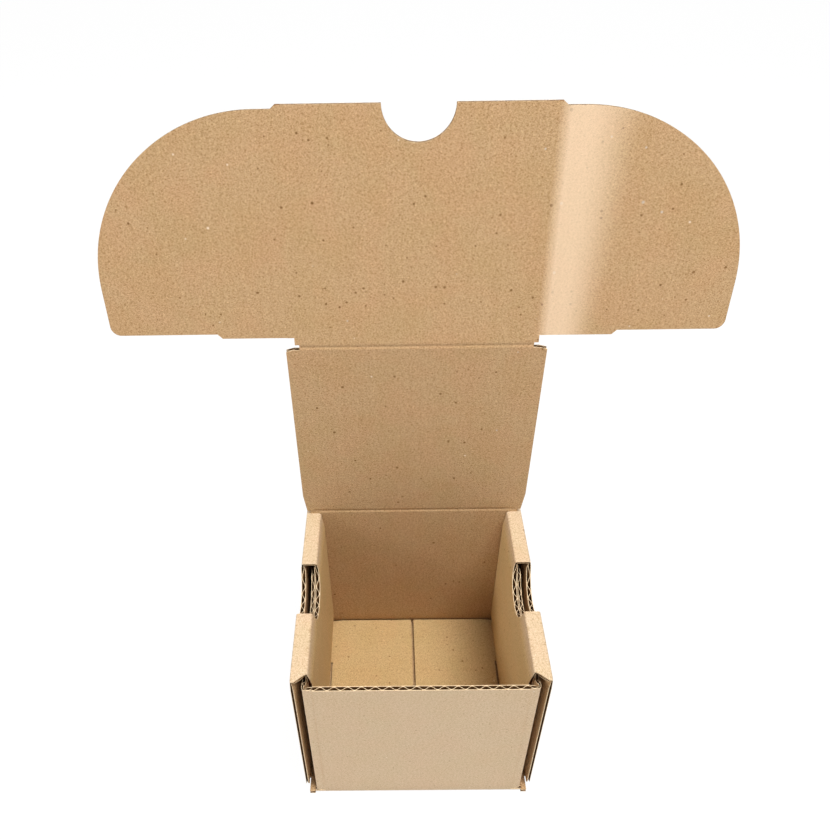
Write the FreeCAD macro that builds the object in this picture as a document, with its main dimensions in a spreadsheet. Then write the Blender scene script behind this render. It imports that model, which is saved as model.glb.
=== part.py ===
import FreeCAD, Part

import math
import os

import Sketcher
from FreeCAD import Placement, Rotation, Vector

# Corrugated mailer box, folded up from one die-cut sheet, with its lid open.
#
# Millimetres. +X to the right, +Y from the front wall to the back wall, +Z up.
# The origin is the middle of the underside. The lid stands up from the back wall,
# the front flap goes on above it, and an ear goes out from each side of the flap.
# When the box is shut the flap lies outside the front wall, and the ears are in
# the slots between the outer side panels and the corner flaps.

os.makedirs("parts", exist_ok=True)
doc = FreeCAD.newDocument("corrugated_mailer_box")

# Driving sizes: name, value, what it is.

SIZES = [
    ("board", 2.4, "thickness of the corrugated board"),
    ("liner", 0.4, "thickness of a liner, and of the wavy layer between the liners"),
    ("flute_pitch", 6.3, "one wave of the middle layer"),
    ("flute_foot", 4.6, "width of a hollow where it lies on a liner"),
    ("flute_crest", 1.4, "width of a hollow under a crest of the wave"),
    ("flute_run", 12, "length of the open hollows below a cut edge of the body"),
    ("box_width", 121, "outside width over the side panels"),
    ("box_depth", 109.5, "outside depth over the front and back walls"),
    ("side_height", 105.5, "top of the rolled side walls above the table"),
    ("front_height", 102, "top edge of the front wall above the table"),
    ("hem_width", 9, "flat top of a rolled side wall"),
    ("roll_in", 8, "height over which the inner side panel runs inwards"),
    ("ear_clearance", 0.3, "air on each side of an ear in its slot"),
    ("layer_gap", 0.15, "air between layers that lie on each other"),
    ("crease_gap", 0.1, "half of the slit left at a crease that moves"),
    ("lid_gap", 0.3, "air between the shut lid and the side walls"),
    ("flap_gap", 0.3, "air between the shut flap and the front wall"),
    ("flap_lift", 1, "height of the shut flap's free edge above the table"),
    ("lid_overhang", 0.5, "how far the lid stands out past each side panel"),
    ("lid_relief_in", 1.5, "how far a lid corner is cut back at the hinge"),
    ("lid_relief_up", 12, "height of that cut-back"),
    ("lid_corner_in", 3.6, "slanted cut at the lid's corners beside the flap"),
    ("lid_corner_down", 2, "height of that cut"),
    ("flap_tilt", 7, "degrees that the open flap leans back from the lid"),
    ("thumb_radius", 14.9, "half-round thumb notch in the flap's free edge"),
    ("cutout_radius", 15.6, "half-round cutout in the top of each side wall"),
    ("cutout_shift", 0.7, "how far the cutout lies behind mid-depth"),
    ("side_setback", 2.75, "front wall's face to the side panels' front edge"),
    ("side_lift", 3, "underside to the side panels' rounded lower corner"),
    ("side_corner", 3, "radius of that corner"),
    ("hem_slant", 4, "how far the front end of the hem is cut on the slant"),
    ("corner_flap", 73, "length of the front wall's corner flaps"),
    ("back_flap", 22, "length of the back wall's corner flaps"),
    ("flap_foot", 0.6, "air between the corner flaps and the bottom panel"),
    ("floor_split", 0.6, "slit between the two floor flaps"),
    ("slot_width", 1.2, "slot along the foot of each inner side panel"),
    ("slot_back", 22, "back end of that slot, measured from mid-depth"),
    ("slot_front", 38, "front end of that slot, measured from mid-depth"),
    ("ear_length", 84, "ear, from its crease to its far edge"),
    ("ear_inset", 5, "lid crease to the ear's near edge"),
    ("ear_step", 2.2, "step in that edge"),
    ("ear_step_at", 33, "distance of the step from the ear's crease"),
    ("ear_top", 1.7, "flap's free edge to the ear's top edge"),
    ("ear_radius", 75, "large curve of the ear"),
    ("ear_corner", 4.5, "small corner radius of the ear"),
]

sheet = doc.addObject("Spreadsheet::Sheet", "Sizes")
for row, (name, value, note) in enumerate(SIZES, 1):
    sheet.set(f"A{row}", name)
    sheet.set(f"B{row}", str(value))
    sheet.set(f"C{row}", note)
    sheet.setAlias(f"B{row}", name)
doc.recompute()


class Size:
    """A length or an angle: its value, and the sheet formula that gives it."""

    def __init__(self, value, formula):
        self.value = value
        self.formula = formula

    def __add__(self, other):
        other = as_size(other)
        return Size(self.value + other.value, f"({self.formula} + {other.formula})")

    def __sub__(self, other):
        other = as_size(other)
        return Size(self.value - other.value, f"({self.formula} - {other.formula})")

    def __mul__(self, other):
        other = as_size(other)
        return Size(self.value * other.value, f"({self.formula} * {other.formula})")

    def __truediv__(self, other):
        other = as_size(other)
        return Size(self.value / other.value, f"({self.formula} / {other.formula})")

    def __neg__(self):
        return Size(-self.value, f"(0 - {self.formula})")

    def __radd__(self, other):
        return as_size(other) + self

    def __rsub__(self, other):
        return as_size(other) - self

    def __rmul__(self, other):
        return as_size(other) * self


def as_size(number):
    """Plain numbers join formulas too."""
    return number if isinstance(number, Size) else Size(float(number), str(number))


def cell(name):
    return Size(float(sheet.get(name)), f"Sizes.{name}")


# Planes that outlines are drawn in, and the direction that they are extruded in.

PLANES = {
    "XY": (Rotation(), Vector(0, 0, 1), "z"),
    "XZ": (Rotation(Vector(1, 0, 0), 90), Vector(0, 1, 0), "y"),
    "YZ": (Rotation(Vector(1, 1, 1), 120), Vector(1, 0, 0), "x"),
}
OVERSHOOT = 1.0     # how far a cutting tool stands out past what it cuts


def outline(name, plane, loops):
    """Sketch of closed loops through points (across, up), each placed by its formulas.

    A point may carry a third value, the radius of an arc to the next point:
    positive turns to the left, negative to the right.
    """
    sketch = doc.addObject("Sketcher::SketchObject", name)
    sketch.Placement = Placement(Vector(), PLANES[plane][0])
    lines, ties, formulas = [], [], []
    for points in loops:
        draw_loop(points, lines, ties, formulas)
    sketch.addGeometry(lines)
    sketch.addConstraint(ties)
    for index, formula in formulas:
        sketch.setExpression(f"Constraints[{index}]", formula)
    return sketch


def draw_loop(points, lines, ties, formulas):
    """Adds one closed loop: its lines and arcs, its constraints and their formulas."""
    spots = [tuple(as_size(v) for v in point) for point in points]
    ends = []
    for here, there in zip(spots, spots[1:] + spots[:1]):
        a = Vector(here[0].value, here[1].value, 0)
        b = Vector(there[0].value, there[1].value, 0)
        if len(here) == 2:
            ends.append((len(lines), 1, 2))
            lines.append(Part.LineSegment(a, b))
            continue
        radius = abs(here[2].value)
        left = here[2].value > 0
        chord = b - a
        rise = math.sqrt(max(radius ** 2 - chord.Length ** 2 / 4, 0))
        side = Vector(-chord.y, chord.x, 0).normalize() * (rise if left else -rise)
        centre = (a + b) * 0.5 + side
        first, last = (a, b) if left else (b, a)
        turn = [math.atan2((p - centre).y, (p - centre).x) for p in (first, last)]
        ends.append((len(lines),) + ((1, 2) if left else (2, 1)))
        lines.append(Part.ArcOfCircle(Part.Circle(centre, Vector(0, 0, 1), radius), *turn))
    for index, (geo, start, _) in enumerate(ends):
        before, _, before_end = ends[index - 1]
        ties.append(Sketcher.Constraint("Coincident", before, before_end, geo, start))
        for kind, spot in zip(("DistanceX", "DistanceY"), spots[index][:2]):
            formulas.append((len(ties), spot.formula))
            ties.append(Sketcher.Constraint(kind, -1, 1, geo, start, spot.value))
        if len(spots[index]) == 3:
            bend = spots[index][2]
            bend = bend if bend.value > 0 else -bend
            formulas.append((len(ties), bend.formula))
            ties.append(Sketcher.Constraint("Radius", geo, bend.value))


def prism(name, plane, shape, start, length, hand=1):
    """A loop, or a list of loops, extruded along the plane's axis, from start over length.

    Hand -1 gives the left-hand copy of a piece that is drawn on the right.
    """
    direction, axis = PLANES[plane][1:]
    loops = shape if isinstance(shape[0], list) else [shape]
    if hand < 0 and plane == "YZ":
        start = -(as_size(start) + length)
    elif hand < 0:
        loops = [[(-as_size(x), z, *(-as_size(bend) for bend in bends))
                  for x, z, *bends in loop] for loop in loops]
    sketch = outline(name + "_outline", plane, loops)
    sketch.setExpression(f"Placement.Base.{axis}", as_size(start).formula)
    solid = doc.addObject("Part::Extrusion", name)
    solid.Base = sketch
    solid.DirMode = "Custom"
    solid.Dir = direction
    solid.setExpression("LengthFwd", as_size(length).formula)
    solid.Solid = True
    return solid


def rectangle(x0, y0, x1, y1):
    return [(x0, y0), (x1, y0), (x1, y1), (x0, y1)]


def fuse(name, solids):
    joined = doc.addObject("Part::MultiFuse", name)
    joined.Shapes = solids
    joined.Refine = False
    return joined


def cut(name, solid, tool):
    rest = doc.addObject("Part::Cut", name)
    rest.Base = solid
    rest.Tool = tool
    rest.Refine = False
    return rest


def hollows(first, count, middle, upright=False):
    """Loops of the hollows between the liners and the wavy middle layer.

    They follow each other by half a wave from first, and lie on one liner and
    the other in turn. Middle is mid-thickness of the board. Upright loops
    follow each other along the second axis of the plane.
    """
    wide = cell("flute_foot") / 2
    narrow = cell("flute_crest") / 2
    reach = board / 2 - cell("liner")
    loops = []
    for index in range(count):
        turn = 1 if index % 2 else -1
        centre = first + cell("flute_pitch") / 2 * index
        foot = middle + reach * turn
        crest = middle - (reach - cell("liner")) * turn
        loop = [(centre - wide, foot), (centre + wide, foot),
                (centre + narrow, crest), (centre - narrow, crest)]
        loops.append([(up, across) for across, up in loop] if upright else loop)
    return loops


board = cell("board")
gap = cell("layer_gap")
slit = cell("crease_gap")

# Outer faces of the four walls, and the layers inside a side wall from the
# outside in: outer panel, ear slot, corner flap, inner panel.

side = cell("box_width") / 2
front = -cell("box_depth") / 2
back = cell("box_depth") / 2
top = cell("side_height")

slot = board + 2 * cell("ear_clearance")
outer_in = side - board
ear_plane = outer_in - slot / 2
corner_out = outer_in - slot
corner_in = corner_out - board
inner_out = corner_in - gap
inner_in = inner_out - board
hem_in = side - cell("hem_width")
roll_foot = top - cell("roll_in")
floor_under = board + gap
floor_top = floor_under + board

# Hinge line of the lid, at mid-thickness of the back wall and above the side
# walls by the thickness of the shut lid, and the crease between lid and flap.

hinge_y = back - board / 2
hinge_z = top + cell("lid_gap") + board / 2
lid_length = hinge_y - front + cell("flap_gap") + board / 2
crease_z = hinge_z + lid_length
flap_length = hinge_z - cell("flap_lift")

roll_front = front + cell("side_setback")
roll_back = back - board - cell("lid_gap")
slant_back = roll_front + cell("hem_slant")
corner_z = cell("side_lift") + cell("side_corner")
split = cell("floor_split") / 2


def rolled_side(hand, word):
    """Outer panel, hem, inner panel and floor flap, folded from half the bottom."""
    # One section, with each fold rounded on its outer face.
    roll = prism(word + "_roll", "XZ", [
        (0, 0),
        (outer_in, 0, board),
        (side, board),
        (side, top - board, board),
        (outer_in, top),
        (hem_in + board, top, board),
        (hem_in, top - board),
        (inner_in, roll_foot),
        (inner_in, floor_top),
        (split, floor_top),
        (split, floor_under),
        (inner_in, floor_under, board),
        (inner_out, floor_top),
        (inner_out, roll_foot),
        (hem_in + board, top - board),
        (outer_in, top - board),
        (outer_in, board),
        (0, board),
    ], roll_front, roll_back - roll_front, hand)
    # The outer panel alone goes on to the back and covers the back wall's end.
    tail = prism(word + "_tail", "XZ", [
        (outer_in, flap_foot),
        (side, flap_foot),
        (side, top - board, board),
        (outer_in, top),
    ], roll_back - OVERSHOOT, board + OVERSHOOT, hand)
    # Slanted front end of the hem and of the inner panel.
    slant = prism(word + "_slant", "XY", [
        (outer_in, roll_front),
        (hem_in, slant_back),
        (inner_in - OVERSHOOT, slant_back),
        (inner_in - OVERSHOOT, roll_front - OVERSHOOT),
        (outer_in, roll_front - OVERSHOOT),
    ], floor_top + cell("side_corner"), top, hand)
    # Rounded lower front corner of the outer panel.
    corner = prism(word + "_lower_corner", "YZ", [
        (roll_front - OVERSHOOT, -OVERSHOOT),
        (roll_front + cell("side_corner"), -OVERSHOOT),
        (roll_front + cell("side_corner"), cell("side_lift"), -cell("side_corner")),
        (roll_front, corner_z),
        (roll_front - OVERSHOOT, corner_z),
    ], outer_in, board + OVERSHOOT, hand)
    # Slot along the foot of the inner panel, where the floor flap is cut free.
    foot_slot = prism(word + "_foot_slot", "XY", rectangle(
        inner_in - cell("slot_width"), -cell("slot_front"), inner_in, cell("slot_back")),
        floor_under - gap / 2, board + gap, hand)
    whole = fuse(word + "_side_whole", [roll, tail])
    return cut(word + "_side", whole, fuse(word + "_side_cuts", [slant, corner, foot_slot]))


def front_corner_flap(hand, word):
    """Folded back from the end of the front wall, with its top cut under the hem."""
    whole = prism(word + "_corner_whole", "XY", [
        (fold_side - board, front),
        (fold_side, front, board),
        (corner_out, front + board),
        (corner_out, front + cell("corner_flap")),
        (corner_in, front + cell("corner_flap")),
        (corner_in, front + board),
        (fold_side - board, front + board),
    ], flap_foot, cell("front_height") - flap_foot, hand)
    trim = prism(word + "_corner_trim", "YZ", [
        (front + board + gap, cell("front_height") + OVERSHOOT),
        (front + board + gap, cell("front_height")),
        (slant_back - gap, roll_foot - gap),
        (front + cell("corner_flap") + OVERSHOOT, roll_foot - gap),
        (front + cell("corner_flap") + OVERSHOOT, cell("front_height") + OVERSHOOT),
    ], corner_in - OVERSHOOT, board + 2 * OVERSHOOT, hand)
    return cut(word + "_corner_flap", whole, trim)


def back_corner_flap(hand, word):
    """Folded forward from the end of the back wall."""
    return prism(word + "_back_flap", "XY", [
        (back_fold - board, back - board),
        (back_fold, back - board),
        (back_fold, back - cell("back_flap")),
        (back_side, back - cell("back_flap")),
        (back_side, back - board, board),
        (back_fold, back),
        (back_fold - board, back),
    ], flap_foot, top - board - gap - flap_foot, hand)


def bottom_corner(hand, word):
    """The bottom panel's corner, which shows past the end of the front wall."""
    return prism(word + "_bottom_corner", "XY", rectangle(
        corner_out + gap, front, outer_in, front + 2 * board), 0, board, hand)


# Front wall with its fold from the bottom panel.
fold_side = corner_out - board
flap_foot = board + cell("flap_foot")
front_wall = prism("front_wall", "YZ", [
    (front + 2 * board, 0),
    (front + 2 * board, board),
    (front + board, board),
    (front + board, cell("front_height")),
    (front, cell("front_height")),
    (front, board, board),
    (front + board, 0),
], -fold_side, 2 * fold_side)

# Back wall, pointed at the top where the lid hinges.
back_side = outer_in - gap
back_fold = back_side - board
back_wall = prism("back_wall", "YZ", [
    (back - 2 * board, board),
    (back - 2 * board, 0),
    (back - board, 0, board),
    (back, board),
    (back, hinge_z - slit - board / 2),
    (hinge_y, hinge_z - slit),
    (back - board, hinge_z - slit - board / 2),
    (back - board, board),
], -back_fold, 2 * back_fold)

bottom = prism("bottom_panel", "XY", rectangle(
    -outer_in, front + board, outer_in, back - board), 0, board)

# Half-round cutout through all the layers of both side walls.
cutout = doc.addObject("Part::Cylinder", "side_cutout")
cutout.Placement = Placement(Vector(), Rotation(Vector(0, 1, 0), 90))
cutout.setExpression("Placement.Base.x", (-side - OVERSHOOT).formula)
cutout.setExpression("Placement.Base.y", cell("cutout_shift").formula)
cutout.setExpression("Placement.Base.z", top.formula)
cutout.setExpression("Radius", cell("cutout_radius").formula)
cutout.setExpression("Height", (2 * side + 2 * OVERSHOOT).formula)

hands = ((1, "right"), (-1, "left"))
both_sides = [make(hand, word)
              for make in (rolled_side, front_corner_flap, back_corner_flap, bottom_corner)
              for hand, word in hands]
body_whole = fuse("box_base_whole", [bottom, front_wall, back_wall] + both_sides)

# Hollows of the corrugated board, open at the front wall's top edge and, in each
# layer of a side wall, at the round edge of the cutout. They run upright.
half_wave = cell("flute_pitch") / 2
open_hollows = [prism("front_wall_hollows", "XY", hollows(
    -half_wave * 15, 31, front + board / 2),
    cell("front_height") - cell("flute_run"), cell("flute_run") + OVERSHOOT)]
cutout_foot = top - cell("cutout_radius") - cell("flute_run")
for layer, count, middle, upper in (
        ("outer", 9, side - board / 2, top - board - cell("liner")),
        ("corner_flap", 7, corner_in + board / 2, roll_foot),
        ("inner", 7, inner_in + board / 2, roll_foot)):
    for hand, word in hands:
        open_hollows.append(prism(f"{word}_{layer}_hollows", "XY", hollows(
            cell("cutout_shift") - half_wave * (count // 2), count, middle, True),
            cutout_foot, upper - cutout_foot, hand))
box_base = cut("box_base", body_whole, fuse("body_openings", [cutout] + open_hollows))


def crease_cut(name, plane, across, up, outward, start, length, hand=1):
    """Tool that points the edge of a board at mid-thickness, so that it can fold.

    The crease is at (across, up) in the plane. Outward is the way from the
    board towards the crease, along across in plane XY and along up in YZ.
    """
    deep = board / 2 + OVERSHOOT
    near, inside, away = (outward * reach for reach in (-slit, -slit - deep, as_size(OVERSHOOT)))
    steps = [(near, 0), (inside, deep), (away, deep), (away, -deep), (inside, -deep)]
    if plane == "XY":
        points = [(across + along, up + aside) for along, aside in steps]
    else:
        points = [(across + aside, up + along) for along, aside in steps]
    return prism(name, plane, points, start, length, hand)


# Lid panel, upright on the hinge line.

lid_side = side + cell("lid_overhang")
lid_foot = lid_side - cell("lid_relief_in")
lid_shoulder = crease_z - cell("lid_corner_down")
lid_neck = lid_side - cell("lid_corner_in")
lid_plain = prism("lid_plain", "XZ", [
    (-lid_foot, hinge_z),
    (lid_foot, hinge_z),
    (lid_side, hinge_z + cell("lid_relief_up")),
    (lid_side, lid_shoulder),
    (lid_neck, crease_z),
    (-lid_neck, crease_z),
    (-lid_side, lid_shoulder),
    (-lid_side, hinge_z + cell("lid_relief_up")),
], back - board, board)
lid_panel = cut("lid_panel", lid_plain, fuse("lid_creases", [
    crease_cut("lid_hinge_crease", "YZ", hinge_y, hinge_z, -1, -lid_side, 2 * lid_side),
    crease_cut("lid_top_crease", "YZ", hinge_y, crease_z, 1, -lid_side, 2 * lid_side)]))

# Front flap and ears, drawn flat with the lid crease at height 0, and then
# stood on the lid and leaned back together. The hollows of their board are open
# at the cut edges and pressed shut along the creases.

ear_crease = ear_plane
flap_plain = prism("flap_plain", "XZ", [
    (-ear_crease, 0),
    (ear_crease, 0),
    (ear_crease, flap_length),
    (cell("thumb_radius"), flap_length, -cell("thumb_radius")),
    (0, flap_length - cell("thumb_radius"), -cell("thumb_radius")),
    (-cell("thumb_radius"), flap_length),
    (-ear_crease, flap_length),
], -board / 2, board)
ear_end = flap_length - cell("ear_top")
crease_run = (cell("ear_inset"), ear_end - cell("ear_inset"))
front_flap = cut("front_flap", flap_plain, fuse("flap_creases", [
    prism("flap_hollows", "XY", hollows(-half_wave * 15, 31, 0),
          2 * cell("ear_inset"), flap_length),
    crease_cut("flap_lid_crease", "YZ", 0, 0, -1, -side, 2 * side),
    crease_cut("flap_right_crease", "XY", ear_crease, 0, 1, *crease_run),
    crease_cut("flap_left_crease", "XY", ear_crease, 0, 1, *crease_run, -1)]))

ear_far = ear_crease + cell("ear_length")
ear_step_x = ear_crease + cell("ear_step_at")
ear_low = cell("ear_inset") + cell("ear_step")


def ear(hand, name):
    """Rounded ear beside the flap, with its crease edge pointed."""
    plain = prism(name + "_plain", "XZ", [
        (ear_crease, cell("ear_inset")),
        (ear_step_x, cell("ear_inset")),
        (ear_step_x + cell("ear_step"), ear_low),
        (ear_far - cell("ear_corner"), ear_low, cell("ear_corner")),
        (ear_far, ear_low + cell("ear_corner")),
        (ear_far, ear_end - cell("ear_radius"), cell("ear_radius")),
        (ear_far - cell("ear_radius"), ear_end),
        (ear_crease, ear_end),
    ], -board / 2, board, hand)
    return cut(name, plain, fuse(name + "_creases", [
        prism(name + "_hollows", "XY", hollows(half_wave * 20, 24, 0), 0, flap_length, hand),
        crease_cut(name + "_crease", "XY", ear_crease, 0, -1, 0, flap_length, hand)]))


ear_left = ear(-1, "ear_left")
ear_right = ear(1, "ear_right")

for leaf in (front_flap, ear_right, ear_left):
    leaf.Placement = Placement(Vector(), Rotation(Vector(-1, 0, 0), cell("flap_tilt").value))
    leaf.setExpression("Placement.Rotation.Angle", cell("flap_tilt").formula)
    leaf.setExpression("Placement.Base.y", hinge_y.formula)
    leaf.setExpression("Placement.Base.z", crease_z.formula)

doc.recompute()
for item in doc.Objects:
    if {"Invalid", "Error"} & set(item.State):
        raise RuntimeError(f"{item.Name} did not build: {item.State}")

for piece in (box_base, lid_panel, front_flap, ear_left, ear_right):
    piece.Label = piece.Name
    shape = piece.Shape
    if shape.isNull() or not shape.isValid() or len(shape.Solids) != 1:
        raise RuntimeError(f"{piece.Label} is not one sound solid")
    shape.exportStep(f"parts/{piece.Label}.step")
    box = shape.BoundBox
    print(f"{piece.Label}: {shape.Volume:.0f} mm3, X {box.XMin:.2f} {box.XMax:.2f}, "
          f"Y {box.YMin:.2f} {box.YMax:.2f}, Z {box.ZMin:.2f} {box.ZMax:.2f}")
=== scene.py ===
"""Corrugated mailer box, open: looks for the folded die-cut sheet.

Every panel is real corrugated board: two liners with a wavy middle layer
between them. Lengths in the tables below are millimetres, as in the part's
source, and become metres when a mesh is made.
"""

import math

import bpy
import numpy as np
from bpy.props import FloatProperty, FloatVectorProperty, PointerProperty
from mathutils import Matrix, Vector


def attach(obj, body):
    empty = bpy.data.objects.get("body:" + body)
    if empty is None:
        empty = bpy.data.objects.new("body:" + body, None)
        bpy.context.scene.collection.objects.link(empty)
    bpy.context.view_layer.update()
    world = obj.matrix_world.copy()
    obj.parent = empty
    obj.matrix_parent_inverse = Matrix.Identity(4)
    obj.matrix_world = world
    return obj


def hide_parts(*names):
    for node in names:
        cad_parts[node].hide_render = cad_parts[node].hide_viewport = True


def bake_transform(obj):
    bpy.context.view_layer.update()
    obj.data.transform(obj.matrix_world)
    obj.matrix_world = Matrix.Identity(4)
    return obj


bl_info = {
    "name": "Corrugated Mailer Box",
    "version": (1, 0, 0),
    "blender": (4, 5, 0),
    "location": "3D View > Sidebar > Mailer Box",
    "description": "Makes an open corrugated mailer box on a plain stage",
    "category": "Add Mesh",
}

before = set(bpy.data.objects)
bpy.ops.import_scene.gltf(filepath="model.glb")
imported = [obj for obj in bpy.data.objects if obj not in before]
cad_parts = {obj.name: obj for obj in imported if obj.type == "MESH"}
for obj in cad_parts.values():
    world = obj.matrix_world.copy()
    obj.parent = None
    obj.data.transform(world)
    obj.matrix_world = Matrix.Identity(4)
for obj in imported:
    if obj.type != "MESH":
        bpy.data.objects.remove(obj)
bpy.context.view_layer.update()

MM = 0.001

# Sheet faces as the part's source has them.
FRONT = -54.75          # outer face of the front wall
BACK = 54.75            # outer face of the back wall
TOP = 105.5             # top of the rolled sides
FRONT_TOP = 102.0       # top edge of the front wall
HALF = 1.2              # half of the board
HINGE_Y, HINGE_Z = 53.55, 107.0
CREASE_Z = 216.8        # crease between lid and flap
CUT_Y, CUT_R = 0.7, 15.6    # half-round cutout of the side walls
CUT_LIP = 15.42         # half width of the cutout at the hem
ROLL_FRONT, ROLL_BACK, SLANT_BACK = -52.0, 52.05, -46.8
SLOT_FRONT, SLOT_BACK = -38.0, 22.0
FLOOR_Z = 3.75          # mid-thickness of the floor flaps
FLAP_TILT = math.radians(7)
FLAP_LENGTH = 106.0
THUMB_R = 14.9
EAR_ROOT, EAR_FAR = 56.6, 140.6
EAR_NEAR, EAR_END = 5.0, 104.3
STRIP = 2.0             # half width of a pressed crease

# Places and folds that only the looks need.
BEND_R = 0.6            # radius inside an ordinary fold
BOTTOM_X, BOTTOM_Y = 55.25, 49.95   # edges of the bottom panel at its folds
PANEL_X = 59.3          # mid-thickness of an outer side panel
ROLL_LINE = ((BOTTOM_X, HALF), (PANEL_X, HALF), (PANEL_X, TOP - HALF), (52.7, TOP - HALF),
             (51.8, 94.0), (51.35, FLOOR_Z), (0.8, FLOOR_Z))
ROLL_RADII = (BEND_R, 0.35, 0.35, 12.0, BEND_R)
WALL_LOW = 3.0          # lower edge of the outer side panels and the corner flaps
FRONT_HALF, FRONT_FOOT = 49.7, 55.1     # half width of the front wall, and of its bottom fold
BACK_HALF, BACK_FOOT = 52.5, 55.55      # the same for the back wall
FRONT_FLAP_X, FRONT_FLAP_END = 53.9, 18.25      # front corner flap and its free edge
BACK_FLAP_X, BACK_FLAP_END, BACK_FLAP_TOP = 56.75, 32.75, 102.95
LID_INNER, LID_HALF = 54.6, 61.0        # lid beside the creases, and at its widest
LID_REST = CREASE_Z - 1.3               # top of the lid beside the flap's crease
EAR_STEP = (89.6, 91.8)                 # step in an ear's near edge
EAR_TIP, EAR_TIP_R = 136.1, 4.5         # small round corner
EAR_ROUND, EAR_ROUND_R = (65.6, 29.3), 75.0     # large round

# Share by which the pressed board is thinner, and how far from the edge that fades.
FOLD_OUTER, FOLD_HOLLOW, FOLD_REACH = 0.35, 0.78, 1.7
EDGE_REACH = 1.5
EAR_THIN, EAR_THIN_REACH = 0.22, 3      # room for the ears in their slots

# Camera solved from the photo's corners, in pixels, radians and millimetres.
PHOTO_WIDE, PHOTO_HIGH = 830, 840
FOCUS, CENTRE = 752.412, (383.76, 419.42)
CAMERA_TURN = (0.69393, 0.01058, -0.01844)
CAMERA_SPOT = (-12.81, -238.33, 414.84)

# Square lamps: name, place, target, size in metres, power in watts.
LAMPS = (("key_lamp", (0.38, -0.25, 1.48), (0, 0, 0.1), 0.6, 20.5),
         ("front_lamp", (-0.1, -1.5, 0.6), (0, 0, 0.15), 1.0, 2.2),
         ("side_lamp", (-1.3, -0.2, 0.95), (0, 0, 0.15), 0.4, 9))


def srgb(red, green, blue):
    """Linear colour of an 8-bit one."""
    values = np.array([red, green, blue]) / 255
    return tuple(np.where(values <= 0.04045, values / 12.92, ((values + 0.055) / 1.055) ** 2.4))


class BoardSizes(bpy.types.PropertyGroup):
    liner: FloatProperty(
        name="Liner", description="Thickness of each flat outer layer",
        default=0.00028, min=0.0001, max=0.0008, precision=5, unit="LENGTH")
    middle: FloatProperty(
        name="Middle layer", description="Thickness of the wavy layer",
        default=0.00025, min=0.0001, max=0.0008, precision=5, unit="LENGTH")
    pitch: FloatProperty(
        name="Wave", description="Length of one wave of the middle layer",
        default=0.0063, min=0.004, max=0.01, precision=5, unit="LENGTH")
    washboard: FloatProperty(
        name="Washboard", description="How far the liners sink between the waves",
        default=0.00003, min=0, max=0.0002, precision=6, unit="LENGTH")
    ear_bend: FloatProperty(
        name="Ear bend", description="How far the right ear bows near its crease",
        default=0.0003, min=0, max=0.003, precision=5, unit="LENGTH")
    crease_depth: FloatProperty(
        name="Crease depth", description="Depth of the pressed line along a crease",
        default=0.00055, min=0, max=0.0009, precision=5, unit="LENGTH")


class BoardColours(bpy.types.PropertyGroup):
    inside: FloatVectorProperty(
        name="Inner liner", description="Kraft paper on the inner face",
        default=srgb(190, 157, 117), size=3, min=0, max=1, subtype="COLOR")
    outside: FloatVectorProperty(
        name="Outer liner", description="Kraft paper on the outer face",
        default=srgb(206, 182, 151), size=3, min=0, max=1, subtype="COLOR")
    cut_edge: FloatVectorProperty(
        name="Cut edge", description="Paper where a liner is cut through",
        default=srgb(236, 211, 174), size=3, min=0, max=1, subtype="COLOR")
    wave: FloatVectorProperty(
        name="Wave", description="Paper of the wavy middle layer",
        default=srgb(128, 92, 54), size=3, min=0, max=1, subtype="COLOR")
    floor: FloatVectorProperty(
        name="Floor", description="Plain pale floor",
        default=(0.7, 0.7, 0.7), size=3, min=0, max=1, subtype="COLOR")


# Surfaces

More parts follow.
